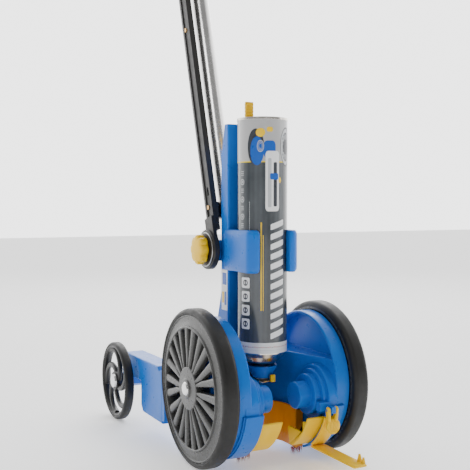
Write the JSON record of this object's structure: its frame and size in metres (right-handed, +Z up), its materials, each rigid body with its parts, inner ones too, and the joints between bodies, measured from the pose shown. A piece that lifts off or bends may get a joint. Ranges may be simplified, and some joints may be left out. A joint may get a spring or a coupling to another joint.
{
  "type": "line striping machine",
  "caption": "Push-along line striping machine with spoked front wheels, small rear wheels, a folding handle and an upside-down aerosol paint can.",
  "frame": {"origin": "on the floor, below the middle of the front wheels' axis", "axes": "+Z up, -Y the machine's front where the pointer is, +X its side opposite the fold knob"},
  "size_m": [0.234, 0.5389, 1.0033],
  "materials": {
    "blue_plastic": "satin moulded",
    "yellow_plastic": "satin moulded",
    "amber_plastic": "satin moulded",
    "tyre_rubber": "matt rubber",
    "grey_rim": "satin moulded",
    "black_rim": "satin moulded",
    "bush_plastic": "smooth",
    "bright_cap": "bright plated",
    "steel": "zinc plated",
    "brass": "plain",
    "charcoal_plastic": "fine texture",
    "aluminium": "polished drawn tube",
    "grip_rubber": "ribbed",
    "can_print": "gloss print",
    "can_metal": "tinplate",
    "paint": "liquid",
    "nozzle_plastic": "smooth",
    "bristle": "soft fibres"
  },
  "bodies": {
    "chassis": {"left_guard": "blue_plastic", "right_guard": "blue_plastic", "centre_bridge": "blue_plastic", "left_rear_arm": "blue_plastic", "right_rear_arm": "blue_plastic", "mast": "blue_plastic", "left_clip_jaw": "blue_plastic", "right_clip_jaw": "blue_plastic", "pivot_bracket": "blue_plastic", "pivot_bolt": "steel", "nozzle_cup": "blue_plastic", "spray_shroud": "amber_plastic", "guard_brushes": "bristle", "shroud_brush": "bristle", "left_front_axle": "steel", "right_front_axle": "steel", "left_rear_axle": "steel", "right_rear_axle": "steel", "arm_screws": "steel", "mast_screws": "steel", "pointer_pin": "steel"},
    "left_front_wheel": {"left_front_tyre": "tyre_rubber", "left_front_rim": "grey_rim", "left_front_bush": "bush_plastic", "left_front_cap": "bright_cap"},
    "right_front_wheel": {"right_front_tyre": "tyre_rubber", "right_front_rim": "grey_rim", "right_front_bush": "bush_plastic", "right_front_cap": "bright_cap"},
    "left_rear_wheel": {"left_rear_tyre": "tyre_rubber", "left_rear_rim": "black_rim", "left_rear_cap": "bright_cap"},
    "right_rear_wheel": {"right_rear_tyre": "tyre_rubber", "right_rear_rim": "black_rim", "right_rear_cap": "bright_cap"},
    "handle": {"handle_arm": "charcoal_plastic", "handle_tube": "aluminium", "lower_clamp": "charcoal_plastic", "upper_clamp": "charcoal_plastic", "arm_rivets": "brass", "grip_body": "charcoal_plastic", "grip_sleeve": "grip_rubber", "trigger_pin": "steel"},
    "knob": {"clamp_knob": "yellow_plastic", "knob_insert": "brass"},
    "trigger": {"trigger": "charcoal_plastic"},
    "pull_rod": {"pull_rod": "steel"},
    "slider": {"trigger_slider": "yellow_plastic", "lift_strip": "brass", "lift_claw": "yellow_plastic"},
    "can": {"can_shell": "can_print", "can_base": "can_metal", "valve_cup": "can_metal", "paint_charge": "paint"},
    "nozzle": {"spray_nozzle": "nozzle_plastic"},
    "left_shield": {"left_shield": "yellow_plastic"},
    "right_shield": {"right_shield": "yellow_plastic"},
    "pointer": {"pointer": "yellow_plastic"}
  },
  "joints": [
    {"name": "left_front_wheel_spin", "type": "hinge", "parent": "chassis", "child": "left_front_wheel", "pos_m": [-0.091, 0, 0.1], "axis": [1, 0, 0], "continuous": true},
    {"name": "right_front_wheel_spin", "type": "hinge", "parent": "chassis", "child": "right_front_wheel", "pos_m": [0.091, 0, 0.1], "axis": [1, 0, 0], "continuous": true},
    {"name": "left_rear_wheel_spin", "type": "hinge", "parent": "chassis", "child": "left_rear_wheel", "pos_m": [-0.108, 0.263, 0.059], "axis": [1, 0, 0], "continuous": true},
    {"name": "right_rear_wheel_spin", "type": "hinge", "parent": "chassis", "child": "right_rear_wheel", "pos_m": [0.108, 0.263, 0.059], "axis": [1, 0, 0], "continuous": true},
    {"name": "handle_fold", "type": "hinge", "parent": "chassis", "child": "handle", "pos_m": [0, 0.065, 0.27], "axis": [-1, 0, 0], "range_deg": [-5, 73]},
    {"name": "knob_turn", "type": "hinge", "parent": "chassis", "child": "knob", "pos_m": [0, 0.065, 0.27], "axis": [-1, 0, 0], "range_deg": [0, 360]},
    {"name": "trigger_squeeze", "type": "hinge", "parent": "handle", "child": "trigger", "pos_m": [-0.011, 0.28249, 0.92809], "axis": [1, 0, 0], "range_deg": [0, 12.3], "stiffness_Nm_per_rad": 0.02, "springref_deg": -17.19},
    {"name": "pull_rod_slide", "type": "slide", "parent": "handle", "child": "pull_rod", "axis": [0, 0.2857, 0.9583], "range_m": [0, 0.0026]},
    {"name": "slider_lift", "type": "slide", "parent": "chassis", "child": "slider", "axis": [0, 0, 1], "range_m": [0, 0.0025], "stiffness_N_per_m": 2000, "springref_m": -0.01},
    {"name": "can_lift", "type": "slide", "parent": "chassis", "child": "can", "axis": [0, 0, 1], "range_m": [0, 0.3]},
    {"name": "nozzle_press", "type": "slide", "parent": "can", "child": "nozzle", "axis": [0, 0, 1], "range_m": [0, 0.0026]},
    {"name": "left_shield_slide", "type": "slide", "parent": "chassis", "child": "left_shield", "axis": [-1, 0, 0], "range_m": [-0.003, 0.006]},
    {"name": "right_shield_slide", "type": "slide", "parent": "chassis", "child": "right_shield", "axis": [1, 0, 0], "range_m": [-0.009, 0.006]},
    {"name": "pointer_fold", "type": "hinge", "parent": "chassis", "child": "pointer", "pos_m": [0.051, -0.0945, 0.077], "axis": [-1, 0, 0], "range_deg": [0, 100]}
  ],
  "couplings": [
    {"joint": "trigger_squeeze", "follows": "slider_lift", "rad_per_m": 83.776},
    {"joint": "pull_rod_slide", "follows": "slider_lift", "ratio": 1},
    {"joint": "nozzle_press", "follows": "slider_lift", "ratio": 1}
  ]
}
